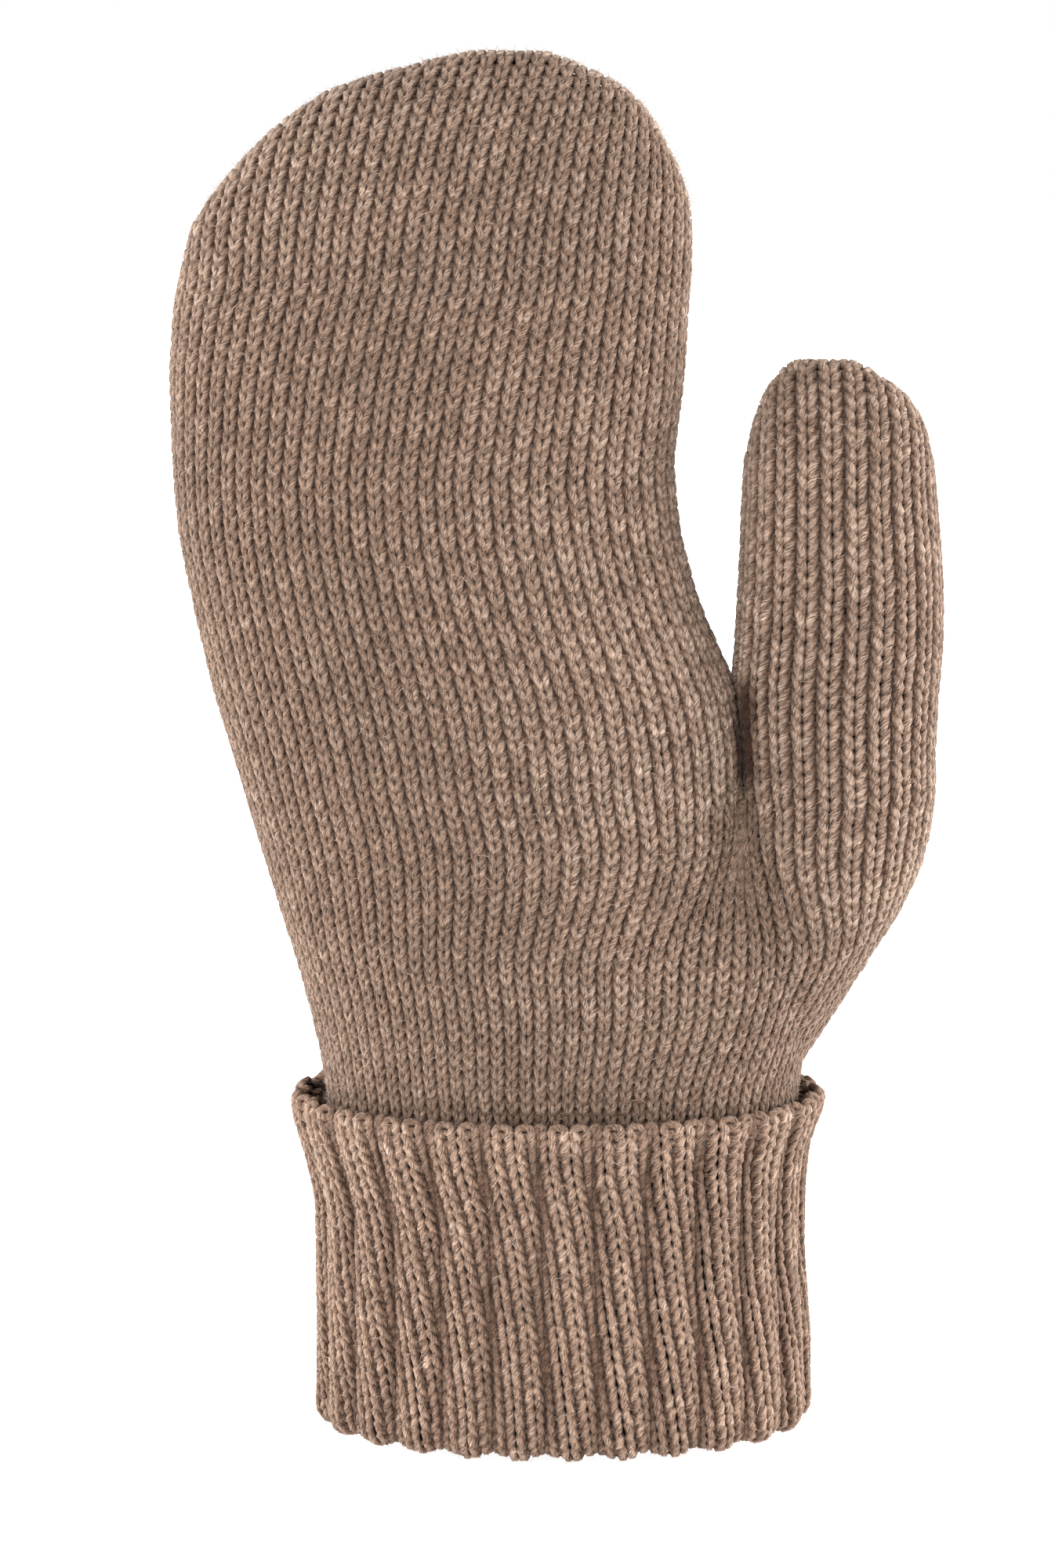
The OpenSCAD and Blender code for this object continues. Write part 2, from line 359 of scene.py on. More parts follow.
def sunk_share(k, wide):
    """1 in the middle of the sunk wale, 0 away from it; k is the place in the rib."""
    return np.clip(np.exp(-(((k - SUNK) / wide) ** 2)) + np.exp(-(((k + RIB_WALES - SUNK) / wide) ** 2)), 0, 1)


class Cuff(Knit):
    """The turned-up cloth. Its second coordinate s runs down the outside from the rim, round the fold and up
    inside."""

    def __init__(self):
        self.wales = RIBS * RIB_WALES
        self.fold_at = RIM - FOLD_R - FOLD_FOOT
        self.fold_end = self.fold_at + math.pi * FOLD_R
        self.end = self.fold_end + 8
        self.z0 = -2.0
        self.zs = np.arange(self.z0, self.end + 1, self.STEP)
        rings, lengths = [], []
        for s in self.zs:
            z, inset = self.profile(s)
            inset += 0.8 * float(smooth((2.2 - s) / 3.2))  # the rim leans in a little
            left, right, depth = measures(CUFF, z)
            x = spaced(left, right, 1201)
            x, y, length = even(x, -oval(x, left, right, depth, CUFF_POWER), self.FINE + 1)
            dx, dy = np.gradient(x), np.gradient(y)
            dx[0], dy[0], dx[-1], dy[-1] = 0, -1, 0, 1
            d = np.hypot(dx, dy)
            rings.append(np.stack([x - inset * dy / d, y + inset * dx / d, np.full(x.shape, z)], -1))
            lengths.append(length)
        self.build(rings, lengths, up=-1)

    def profile(self, s):
        """Height and how far in from the outside, mm, at s."""
        if s < self.fold_at:
            return RIM - s, 0.0
        if s < self.fold_end:
            a = (s - self.fold_at) / FOLD_R
            return FOLD_R + FOLD_FOOT - FOLD_R * math.sin(a), FOLD_R * (1 - math.cos(a))
        return FOLD_R + FOLD_FOOT + s - self.fold_end, 2 * FOLD_R

    def fold(self, q):
        q = np.mod(q, self.wales) * 2
        back = q > self.wales
        return np.where(back, 2 * self.wales - q, q), back

    def lean(self, q, z):
        """How far the ribs lean to one side, in wales."""
        angle = 2 * np.pi * q / self.wales
        wander = 0.10 * np.sin(z / 9 + 3 * angle) + 0.12 * np.sin(z / 17 + 5 * angle + 1)
        return 0.027 * (z - 30) * (1 + 0.25 * np.sin(angle + 0.5)) + wander

    def leaned(self, q, z):
        return q + RIB_START + self.lean(q, z)

    def spread(self, q):
        """Raised wales are wider than the sunk one of each rib."""
        rib = np.floor(q / RIB_WALES)
        return RIB_WALES * rib + np.interp(q - RIB_WALES * rib, [0, 1, 2, 3], [0, 1.19, 2.38, 3.0])

    def where(self, q, z):
        f, _ = self.fold(self.spread(self.leaned(q, z)))
        return f / self.wales

    def place(self, q, z):
        s = self.leaned(q, z)
        k = np.mod(s, RIB_WALES)
        _, back = self.fold(self.spread(s))
        points, normals = self.at_share(self.where(q, z), z, back)
        near_fold = smooth((z - self.fold_at + 6) / 6)
        bulge = (0.35 + 0.35 * near_fold) * np.cos((k - 1.0) * np.pi / 1.3) * (np.abs(k - 1.0) < 0.65)
        depth = RIB_DEPTH * (1 - 0.42 * smooth((z - self.fold_at + 5) / 8))
        return points + normals * (bulge - depth * sunk_share(k, 0.52))[..., None], normals

    def groove(self, q, z):
        """1 in the middle of a sunk wale, 0 on the raised ones."""
        return sunk_share(np.mod(self.leaned(q, z), RIB_WALES), 0.42)

    def width(self, q, z):
        return np.interp(z, self.zs, self.length) * 2 / self.wales + 0 * q


cuff = Cuff()

# ---------------------------------------------------------------- yarn

SIDES = 6  # of the yarn's section
FLAT = 0.96  # its thickness off the cloth against its width
CELL_PAD = 0.04  # margin of a yarn's cell in the bake layer
FIBRE_ROOT, FIBRE_TIP = 0.03, 0.012  # half widths of a loose fibre, mm
# painted shade: the wool is painted darker the lower its painted_light, which comes from the yarn's height in the
# cloth
DEEPEST, FULLY_OUT = -0.25, 1.90  # heights in the cloth where painted_light is 0 and 1, mm
PAINTED_LIGHT_POWER = 2.45  # how late painted_light rises between them


def mesh_object(name, points, quads, uvs=None, smooth_shade=True, painted_light=None):
    """A mesh object from points in mm and quads, with UV layers given as {name: (4 per quad, 2)}. painted_light is
    how far each point stands clear of the cloth, 0 to 1; the material paints shade on the wool where it is low."""
    mesh = bpy.data.meshes.new(name)
    mesh.vertices.add(len(points))
    mesh.vertices.foreach_set("co", (np.asarray(points) * MM).astype(np.float32).ravel())
    mesh.loops.add(quads.size)
    mesh.loops.foreach_set("vertex_index", quads.astype(np.int32).ravel())
    mesh.polygons.add(len(quads))
    mesh.polygons.foreach_set("loop_start", np.arange(0, quads.size, 4, dtype=np.int32))
    mesh.update(calc_edges=True)
    mesh.polygons.foreach_set("use_smooth", np.full(len(quads), smooth_shade))
    for layer, values in (uvs or {}).items():
        uv = mesh.uv_layers.new(name=layer)
        uv.data.foreach_set("uv", values.astype(np.float32).ravel())
    if painted_light is not None:
        layer = mesh.attributes.new("painted_light", "FLOAT", "POINT")
        layer.data.foreach_set("value", np.asarray(painted_light, np.float32).ravel())
    mesh.validate()
    obj = bpy.data.objects.new(name, mesh)
    bpy.context.scene.collection.objects.link(obj)
    return obj


def tubes(name, path, side, radius, lift, hairs=5500, least=0.0):
    """Yarn tubes. path is (yarns, points, 3) with one extra point at each end, side the direction away from the
    cloth there, radius per point, lift its height from the middle of the cloth, mm, which sets the painted shade,
    hairs the most loose fibres there can be and least the smallest painted_light. Each yarn has its own cell of
    the bake layer, and runs along u in the Yarn layer from a place of its own."""
    tangent = unit(path[:, 2:] - path[:, :-2])
    middle = path[:, 1:-1]
    across = unit(np.cross(tangent, side[:, 1:-1]))
    out = np.cross(across, tangent)
    count, length = middle.shape[:2]
    angle = 2 * np.pi * np.arange(SIDES) / SIDES
    ring = np.cos(angle)[:, None] * across[:, :, None] + FLAT * np.sin(angle)[:, None] * out[:, :, None]
    ring = ring * radius[:, :, None, None]
    points = (middle[:, :, None] + ring).reshape(-1, 3)
    height = lift[:, 1:-1, None] + FLAT * radius[:, :, None] * np.sin(angle)
    painted_light = np.clip((height - DEEPEST) / (FULLY_OUT - DEEPEST), 0, 1) ** PAINTED_LIGHT_POWER
    painted_light = np.maximum(painted_light, np.asarray(least)[..., None])

    y, i, k = np.meshgrid(np.arange(count), np.arange(length - 1), np.arange(SIDES), indexing="ij")
    k2 = (k + 1) % SIDES
    a = (y * length + i) * SIDES
    quads = np.stack([a + k, a + k2, a + SIDES + k2, a + SIDES + k], -1).reshape(-1, 4)

    grid = math.ceil(math.sqrt(count))
    iu = np.stack([i, i, i + 1, i + 1], -1) / (length - 1)
    kv = np.stack([k, k + 1, k + 1, k], -1) / SIDES
    cells = ((y % grid, iu), (y // grid, kv))
    bake = np.stack([(c[..., None] + CELL_PAD + (1 - 2 * CELL_PAD) * w) / grid for c, w in cells], -1)
    step = np.linalg.norm(np.diff(middle, axis=1), axis=-1)
    run = np.concatenate([np.zeros((count, 1)), np.cumsum(step, axis=1)], 1)
    run = run + rng.random((count, 1)) * 400
    run = np.stack([run[y, i], run[y, i], run[y, i + 1], run[y, i + 1]], -1)
    yarn = np.stack([run, kv + 7 * rng.random((count, 1, 1, 1))], -1)
    yarn, bake, painted_light = yarn.reshape(-1, 2), bake.reshape(-1, 2), painted_light.ravel()

    # loose fibres: thin blades that stand off the outer side of the yarn
    outer = np.flatnonzero(painted_light[quads[:, 0]] > 0.45)
    host = rng.choice(outer, min(len(outer), hairs), replace=False)
    a, b = points[quads[host, 0]], points[quads[host, 3]]
    away, along = unit(ring.reshape(-1, 3)[quads[host, 0]]), unit(b - a)
    lean = rng.normal(size=(len(host), 3)) * 0.45
    reach = away * rng.uniform(0.25, 0.8, (len(host), 1)) + along * rng.normal(size=(len(host), 1)) * 0.9 + lean
    reach *= rng.uniform(0.4, 1.0, (len(host), 1))
    flank = unit(np.cross(reach, away))
    root, tip = a - 0.15 * away, a + reach
    edges = [root - FIBRE_ROOT * flank, root + FIBRE_ROOT * flank, tip + FIBRE_TIP * flank, tip - FIBRE_TIP * flank]

    def with_host(uv):
        """The layer with the fibres added, each at one spot of the yarn it stands on."""
        return np.concatenate([uv, np.repeat(uv.reshape(-1, 4, 2)[host, 0], 4, axis=0)])

    quads = np.concatenate([quads, len(points) + np.arange(4 * len(host)).reshape(-1, 4)])
    points = np.concatenate([points, np.stack(edges, 1).reshape(-1, 3)])
    painted_light = np.concatenate([painted_light, np.full(4 * len(host), 0.97)])
    return mesh_object(name, points, quads, {"Yarn": with_host(yarn), "OFBake": with_host(bake)}, painted_light=painted_light)


LEVEL = -1.65  # height of the yarn's middle over the shape of the tube, mm
LEG_TILT = 0.80  # how far a loop leans back under the next one, mm
YARN_RADIUS = (0.54, 0.84)  # smallest and largest, mm


def stitches(name, tube, q, z, rise, half, gather, depth, thick=0.202, segs=16):
    """A loop of yarn at each wale q and course z. rise is mm of z per mm up the cloth, half the loop's half height,
    gather how far its legs draw together as a share of the wale, depth how far they stand out of the cloth, thick
    the yarn's radius as a share of the wale."""
    count = len(q)
    t = np.linspace(-np.pi, np.pi, segs + 1)
    t = np.concatenate([[t[0] - 0.1], t, [t[-1] + 0.1]])[None]
    hold = (1 + np.cos(t)) / 2
    r = rng.normal(size=(6, count, 1))
    width = tube.width(q, z)[:, None]
    q, z, rise, half, gather = (np.broadcast_to(x, (count,))[:, None] for x in (q, z, rise, half, gather))
    g = gather * (1 + 0.07 * r[0])
    qq = q + t / (2 * np.pi) + g * np.sin(2 * t) + 0.030 * r[1] * hold
    zz = z + rise * (half * np.cos(t) + 0.10 * r[2] * hold + 0.10 * r[5] * np.sin(t) ** 2)
    points, normals = tube.place(qq, zz)
    lift = LEVEL - depth * np.cos(2 * t) - LEG_TILT * np.cos(t) + 0.07 * r[3] * hold
    path = points + normals * lift[..., None]
    radius = np.clip(thick * width, *YARN_RADIUS) * (1 + 0.055 * r[4])
    radius = radius * (1 - 0.10 * np.cos(2 * t)) * np.ones_like(qq)
    # from here lift sets only the painted shade, not where the yarn lies
    lift, least = lift - LEVEL, 0.0
    if tube is cuff:
        # painted shade in the sunk wales between the ribs
        lift = lift - 0.8 * tube.groove(qq, zz)
        # painted light: the first courses at the rim are painted lighter
        least = 0.4 * smooth((7 - zz[:, 1:-1]) / 5)  # the first courses at the rim are never quite dark
    else:
        # painted light and shade: the wool is painted lighter at the wrist and the tip, darker on the thumb and
        # darkest in the crease at its root
        x, y = points[..., 0], points[..., 1]
        painted_crease_shade = np.exp(-(((x - 34) / 1.3) ** 2)) * (np.abs(y) < 14)
        lift = lift + 0.11 * smooth((104 - zz) / 16) + 0.06 * smooth((zz - 205) / 20)
        lift = lift - 0.09 * smooth((x - 33) / 8) * smooth((zz - 100) / 20)
        lift = lift - 1.8 * painted_crease_shade * smooth((zz - 120) / 9) * smooth((144 - zz) / 5)
    return tubes(name, path, normals, radius[:, 1:-1], lift, least=least)


# ---------------------------------------------------------------- where the stitches go


def course_height(z):
    """Height of a course along the cloth at height z, mm."""
    return float(np.interp(z, [60, 95, 118, 137, 160, 178], [2.12, 2.14, 2.2, 2.36, 2.46, 2.5]))


def courses(z0, z1, slope):
    """Course middles from z0 up to z1, evenly along the cloth, with mm of z per mm along it."""
    rows, z = [], z0
    while True:
        k = 1 / math.sqrt(1 + slope(z) ** 2)
        step = course_height(z) * k
        if z + step > z1 + 0.02 * course_height(z):
            break
        rows.append((z + step / 2, k))
        z += step
    return np.array(rows)


def depth_slope(table):
    """How steeply the cloth closes, from the half depth in the table."""

    def slope(z):
        return float(curve(table, 3, z + 0.7) - curve(table, 3, z - 0.7)) / 1.4

    return slope


def rows_between(z0, z1):
    """Course middles that fill z0 to z1 exactly."""
    rows = courses(z0, z1 + 3, zero)
    edges = [z0]
    for z in rows[rows[:, 0] < z1, 0]:
        edges.append(edges[-1] + course_height(z))
    scale = (z1 - z0) / (edges[-1] - z0)
    edges = z0 + (np.array(edges) - z0) * scale
    return np.stack([(edges[1:] + edges[:-1]) / 2, np.ones(len(edges) - 1)], -1)


def fill(tube, rows, q0, q1, closed=True):
    """Wale and course of every stitch in these rows; a stitch past the closing seam is left out."""
    q = np.arange(q0, q1) + 0.5
    qq, zz = (x.ravel() for x in np.meshgrid(q, rows[:, 0]))
    kk = np.repeat(rows[:, 1], len(q))
    if closed:
        return qq, zz, kk
    f = tube.where(qq, zz)
    edge = 0.16 * tube.width(qq, zz) / np.interp(zz, tube.zs, tube.length)
    keep = (f > edge) & (f < 1 - edge)
    return qq[keep], zz[keep], kk[keep]


# ---------------------------------------------------------------- materials


def node(tree, kind, **inputs):
    """A new node with these properties and input values."""
    n = tree.nodes.new(kind)
    for key, value in inputs.items():
        if hasattr(n, key):
            setattr(n, key, value)
        else:
            n.inputs[key.replace("_", " ")].default_value = value
    return n


def arithmetic(tree, operation, *values):
    """A Math node on sockets and numbers."""
    n = node(tree, "ShaderNodeMath", operation=operation)
    for socket, value in zip(n.inputs, values):
        if isinstance(value, float):
            socket.default_value = value
        else:
            tree.links.new(value, socket)
    return n.outputs[0]


def noise(tree, at, scale, detail, roughness):
    n = node(tree, "ShaderNodeTexNoise", Scale=scale, Detail=detail, Roughness=roughness)
    tree.links.new(at, n.inputs["Vector"])
    return n.outputs[0]


def ramp(tree, source, first, last, middle=None):
    """A colour ramp through stops of (position, (r, g, b))."""
    n = node(tree, "ShaderNodeValToRGB")
    tree.links.new(source, n.inputs[0])
    elements = n.color_ramp.elements
    for k, (position, colour) in enumerate((first, last)):
        elements[k].position, elements[k].color = position, (*colour, 1)
    if middle:
        elements.new(middle[0]).color = (*middle[1], 1)
    return n.outputs[0]


def remap(tree, source, *limits):
    """A value mapped from the first two limits to the last two."""
    n = node(tree, "ShaderNodeMapRange")
    tree.links.new(source, n.inputs[0])
    for i, value in enumerate(limits, 1):
        n.inputs[i].default_value = value
    return n.outputs[0]


def multiply(tree, a, b):
    """The product of two colours."""
    n = node(tree, "ShaderNodeMix", data_type="RGBA", blend_type="MULTIPLY")
    n.inputs[0].default_value = 1.0
    tree.links.new(a, n.inputs[6])
    tree.links.new(b, n.inputs[7])
    return n.outputs[2]


# colours, linear; DEEP_SHADE and HALF_SHADE are painted shade: they darken the wool where painted_light is 0 and
# 0.5
DARK_FIBRE, MID_FIBRE, PALE_FIBRE = (0.080, 0.050, 0.036), (0.350, 0.259, 0.202), (0.780, 0.608, 0.492)
DARK_MARL, PALE_MARL = (0.76, 0.74, 0.72), (1.21, 1.21, 1.21)
DEEP_SHADE, HALF_SHADE = (0.080, 0.045, 0.030), (0.40, 0.345, 0.310)


def wool(name, tone=1.065, ply=0.55, fuzz=0.10, shaded=True):
    """Marled two-ply wool: pale and dark fibres wound along the yarn, soft sheen. shaded wool is painted darker
    where painted_light is low: painted shade."""
    mat = bpy.data.materials.new(name)
    mat.use_nodes = True
    tree = mat.node_tree
    tree.nodes.clear()
    link = tree.links.new
    out = node(tree, "ShaderNodeOutputMaterial")
    shader = node(tree, "ShaderNodeBsdfPrincipled")
    link(shader.outputs[0], out.inputs[0])
    split = node(tree, "ShaderNodeSeparateXYZ")
    link(node(tree, "ShaderNodeUVMap", uv_map="Yarn").outputs[0], split.inputs[0])
    along, around = split.outputs[0], split.outputs[1]

    # fibres wind round the yarn, one turn in about 5 mm
    turn = arithmetic(tree, "MULTIPLY_ADD", along, 0.20, around)
    fibre_at = node(tree, "ShaderNodeCombineXYZ")
    link(arithmetic(tree, "MULTIPLY", along, 0.85), fibre_at.inputs[0])
    link(arithmetic(tree, "MULTIPLY", turn, 15.0), fibre_at.inputs[1])
    fibre = noise(tree, fibre_at.outputs[0], 1.0, 4.0, 0.65)

    # marl: short patches where more dark or pale fibre lies on top
    place = node(tree, "ShaderNodeTexCoord").outputs["Object"]
    marl = noise(tree, place, 900.0, 3.0, 0.7)
    broad = noise(tree, place, 34.0, 2.0, 0.5)
    dark, mid, pale = ([tone * x for x in colour] for colour in (DARK_FIBRE, MID_FIBRE, PALE_FIBRE))
    fibres = ramp(tree, fibre, (0.36, dark), (0.66, pale), (0.46, mid))
    mixed = multiply(tree, fibres, ramp(tree, marl, (0.33, DARK_MARL), (0.65, PALE_MARL)))
    shade = node(tree, "ShaderNodeVectorMath", operation="SCALE")
    link(mixed, shade.inputs[0])
    link(remap(tree, broad, 0.3, 0.7, 0.93, 1.07), shade.inputs["Scale"])
    colour = shade.outputs[0]
    if shaded:
        # painted shade: deep between the loops the wool is painted darker, where painted_light is low
        painted_light_fac = node(tree, "ShaderNodeAttribute", attribute_name="painted_light").outputs["Fac"]
        colour = multiply(tree, colour, ramp(tree, painted_light_fac, (0.0, DEEP_SHADE), (1.0, (1, 1, 1)), (0.5, HALF_SHADE)))
    link(colour, shader.inputs["Base Color"])

    # relief: the two plies, then the fibres
    wave = arithmetic(tree, "SINE", arithmetic(tree, "MULTIPLY", turn, 4 * math.pi))
    bump = node(tree, "ShaderNodeBump", Strength=0.8, Distance=0.00035)
    link(arithmetic(tree, "MULTIPLY_ADD", wave, 0.22 * ply, fibre), bump.inputs["Height"])
    link(bump.outputs[0], shader.inputs["Normal"])

    link(remap(tree, fibre, 0.25, 0.75, 0.98, 0.82), shader.inputs["Roughness"])
    shader.inputs["Specular IOR Level"].default_value = 0.22
    shader.inputs["Sheen Weight"].default_value = fuzz
    shader.inputs["Sheen Roughness"].default_value = 0.45
    shader.inputs["Sheen Tint"].default_value = (0.98, 0.88, 0.80, 1)
    return mat


knit_wool = wool("knit_wool")
# the cuff's wool is the same wool painted lighter
rib_wool = wool("rib_wool", tone=1.33)
seam_wool = wool("seam_wool", tone=1.0, ply=0.8)
# the inner wools are the same wool painted darker: painted shade for the inside, seen through the gaps between
# loops
shade_painted_inner_wool = wool("shade_painted_inner_wool", tone=0.30, ply=0.2, fuzz=0.05, shaded=False)
cuff_shade_painted_inner_wool = wool("cuff_shade_painted_inner_wool", tone=0.68, ply=0.2, fuzz=0.05, shaded=False)


def dress(obj, mat):
    """Give an object its material."""
    obj.data.materials.append(mat)
    return obj


# ---------------------------------------------------------------- the knitting

pieces = {}


def knit(name, tube, rows, q0, q1, closed=True):
    """One piece of the knitting, from wale q0 to q1."""
    q, z, rise = fill(tube, rows, q0, q1, closed)
    height = np.array([course_height(x) for x in z])
    gather = np.interp(tube.width(q, z), [2.6, 3.4, 4.4], [0.262, 0.256, 0.225])
    obj = stitches(name, tube, q, z, rise, 1.16 * height, gather, 0.78)
    pieces[name] = dress(obj, knit_wool)


wrist_rows = rows_between(WRIST_FOOT, WRIST_TOP)
gusset_rows = rows_between(WRIST_TOP, CROTCH)
n = HAND + THUMB
knit("wrist_front", palm, wrist_rows, 0, n)
knit("wrist_back", palm, wrist_rows, n, 2 * n)
knit("gusset_front", palm, gusset_rows, 0, n)
knit("gusset_back", palm, gusset_rows, n, 2 * n)

palm_rows = rows_between(CROTCH, HAND_SPLIT)
finger_rows = courses(HAND_SPLIT, HAND_TOP, depth_slope(PALM))
knit("palm_front", hand, palm_rows, 0, HAND)
knit("palm_back", hand, palm_rows, HAND, 2 * HAND)
knit("fingers_front", hand, finger_rows, 0, HAND, closed=False)
knit("fingers_back", hand, finger_rows, HAND, 2 * HAND, closed=False)

knit("thumb_lower", thumb, rows_between(CROTCH, THUMB_SPLIT), 0, 2 * THUMB)
thumb_end_rows = courses(THUMB_SPLIT, THUMB_TOP + 0.5, depth_slope(THUMB_ROWS))
knit("thumb_upper", thumb, thumb_end_rows, 0, 2 * THUMB, closed=False)

# the turned-up rib: its courses run from the rim down, so its loops stand the other way up; the first is short
CUFF_COURSE = 2.33  # height of a course, mm
FRONT_WALES = 38  # wales in the front piece of the cuff
cuff_rows = np.arange(0.9, cuff.end - 1.0, CUFF_COURSE)
cuff_rows = np.stack([cuff_rows, np.ones(len(cuff_rows))], -1)
for name, q0, q1 in (("cuff_front", 0, FRONT_WALES), ("cuff_back", FRONT_WALES, cuff.wales)):
    q, s, _ = fill(cuff, cuff_rows, q0, q1)
    first = s < 1.5
    draw = np.where(np.mod(np.floor(q), RIB_WALES) == 2, 0.19, 0.24) * np.where(first, 0.8, 1)
    tall = CUFF_COURSE * np.where(first, 0.66, 1.14)
    obj = stitches(name, cuff, q, s, 1.0, tall, draw, 0.74, thick=0.222, segs=12)
    pieces[name] = dress(obj, rib_wool)


# ---------------------------------------------------------------- seams and the cuff's edge


SEAM_PITCH = 1.72  # mm of seam to a turn of its yarn


def seam(name, table, start, reach, radius, lift):
    """Yarn sewn over and over a closing seam, from height start on the left over the top and down to it on the
    right. Each turn comes from the front, over the edge and down the back. reach is how far down each side it
    goes, lift how far it stands off the outline, mm."""
    z = np.linspace(start, table[-1][0], 400)
    x = np.concatenate([curve(table, 1, z), curve(table, 2, z)[::-1]])
    z = np.concatenate([z, z[::-1]])
    s = np.concatenate([[0], np.cumsum(np.hypot(np.diff(x), np.diff(z)))])
    count = int(s[-1] / SEAM_PITCH)
    centre = (np.arange(count) + 0.5) * s[-1] / count
    centre = centre + 0.07 * SEAM_PITCH * rng.normal(size=count)
    u = np.linspace(-1.18, 1.18, 15)[None]  # -1 and 1 where a turn goes into the front and the back
    at = centre[:, None] + SEAM_PITCH * 0.42 * u
    px, pz = np.interp(at, s, x), np.interp(at, s, z)
    tx = np.interp(at + 1.5, s, x) - np.interp(at - 1.5, s, x)
    tz = np.interp(at + 1.5, s, z) - np.interp(at - 1.5, s, z)
    d = np.hypot(tx, tz) + 1e-9
    ox, oz = -tz / d, tx / d
    r = rng.normal(size=(3, count, 1))
    wide = reach * (1 + 0.08 * r[0])
    angle = u * math.pi / 2
    out = lift + 1.25 * (np.cos(angle) - 0.62) * (1 + 0.1 * r[1])
    path = np.stack([px + ox * out, wide * np.sin(angle) + 0 * px, pz + oz * out], -1)
    side = np.stack([ox * np.cos(angle), np.sin(angle) + 0 * px, oz * np.cos(angle)], -1)
    rad = radius * (1 + 0.07 * r[2]) * (1 - 0.25 * np.abs(u) ** 3) * np.ones_like(px)
    obj = tubes(name, path, side, rad[:, 1:-1], 0.8 + 0 * px, hairs=1200)
    pieces[name] = dress(obj, seam_wool)


seam("tip_linking", PALM, 212.0, reach=2.5, radius=0.98, lift=-1.45)
seam("thumb_linking", THUMB_ROWS, 177.0, reach=2.2, radius=0.96, lift=-1.40)


def rim_edge(name):
    """The cast-on edge: a low twisted cord along the top of the turned-up cuff, one turn to a wale."""
    count = cuff.wales
    q = np.arange(count) + 0.5
    u = np.linspace(-1.15, 1.15, 13)[None]
    r = rng.normal(size=(3, count, 1))
    qq = q[:, None] + 0.62 * u
    s = 0.35 - 0.40 * np.sin(u * 1.4) + 0.12 * r[0]
    points, normals = cuff.place(qq, s + 0 * qq)
    lift = LEVEL - 1.0 + 0.30 * np.cos(u * 1.5) + 0.08 * r[1]
    path = points + normals * lift[..., None]
    rad = 0.72 * (1 + 0.07 * r[2]) * (1 - 0.22 * np.abs(u) ** 3) * np.ones_like(qq)
    obj = tubes(name, path, normals, rad[:, 1:-1], 0.5 + 0 * qq, hairs=1500)
    pieces[name] = dress(obj, seam_wool)


rim_edge("cuff_cast_on")

# ---------------------------------------------------------------- inner faces

# the sheets behind the stitches carry painted shade: a darkened copy of the wool
BACK = LEVEL - 1.15  # height of the sheets behind the stitches, mm
sheets, flat_mm = {}, {}  # flat_mm: width and length of each sheet laid flat


def closed_sheet(name, rings, mat, long_mm=None, yarn_mm=None, flip=False):
    """One smooth surface through closed rings of points, and its flat size, mm. flip turns its faces round, for
    rings that run downwards."""
    rows, around = rings.shape[0] - 1, rings.shape[1]
    i, j = np.meshgrid(np.arange(rows), np.arange(around), indexing="ij")
    a, b = i * around + j, i * around + (j + 1) % around
    quads = np.stack([a, b, b + around, a + around], -1)
    u = np.stack([j, j + 1, j + 1, j], -1) / around
    v = np.stack([i, i, i + 1, i + 1], -1) / rows
    if flip:
        quads, v = quads[..., ::-1], v[..., ::-1]
    around_mm = float(np.linalg.norm(np.diff(rings, axis=1), axis=-1).sum(1).mean())
    long_mm = long_mm or float(np.linalg.norm(np.diff(rings, axis=0), axis=-1).sum(0).mean())
    yarn = np.stack([u, v], -1) * (yarn_mm or (around_mm, long_mm))
    uvs = {"Yarn": yarn.reshape(-1, 2), "OFBake": np.stack([u, v], -1).reshape(-1, 2)}
    obj = mesh_object(name, rings.reshape(-1, 3), quads.reshape(-1, 4), uvs)
    sheets[name] = dress(obj, mat)
    flat_mm[name] = (around_mm, long_mm)


def tube_rings(tube, z0, z1, step=1.5, around=48):
    """Rings right round a tube behind its stitches."""
    z = np.linspace(z0, z1, max(2, int(round((z1 - z0) / step))) + 1)
    ff, zz = np.meshgrid(np.linspace(0, 1, around + 1), z)
    front, front_out = tube.at_share(ff, zz, np.zeros(ff.shape, bool))
    back, back_out = tube.at_share(ff[:, ::-1], zz, np.ones(ff.shape, bool))
    front, back = front + BACK * front_out, back + BACK * back_out
    return np.concatenate([front[:, :-1], back[:, :-1]], 1)


def cuff_rings(s0, s1, step=1.5):
    """Rings round the turned-up ply behind its stitches, with its ribs."""
    qq, ss = np.meshgrid(np.arange(0, cuff.wales, 0.25), np.linspace(s0, s1, int(round((s1 - s0) / step)) + 1))
    points, normals = cuff.place(qq, ss)
    return points + normals * BACK


def inner_ply_rings(z0, z1, per_rib=12):
    """Rings of the ply of the cuff that lies against the wrist, ribbed like the outer one."""
    rows = []
    for z in np.linspace(z0, z1, 41):
        left, right, depth = measures(CUFF, z)
        inset = 6.5 - 1.6 * float(smooth((z - 44) / 18))
        left, right, depth = left + inset, right - inset, depth - inset
        x = spaced(left, right, 901)
        x, y, _ = even(x, -oval(x, left, right, depth, CUFF_POWER), RIBS * per_rib // 2 + 1)
        rib = 1 + 0.8 * np.cos(2 * np.pi * np.arange(len(x)) / per_rib) / 60
        x, y = x * rib, y * rib
        rows.append(np.stack([np.r_[x[:-1], x[:0:-1]], np.r_[y[:-1], -y[:0:-1]], np.full(2 * len(x) - 2, z)], -1))
    return np.array(rows)


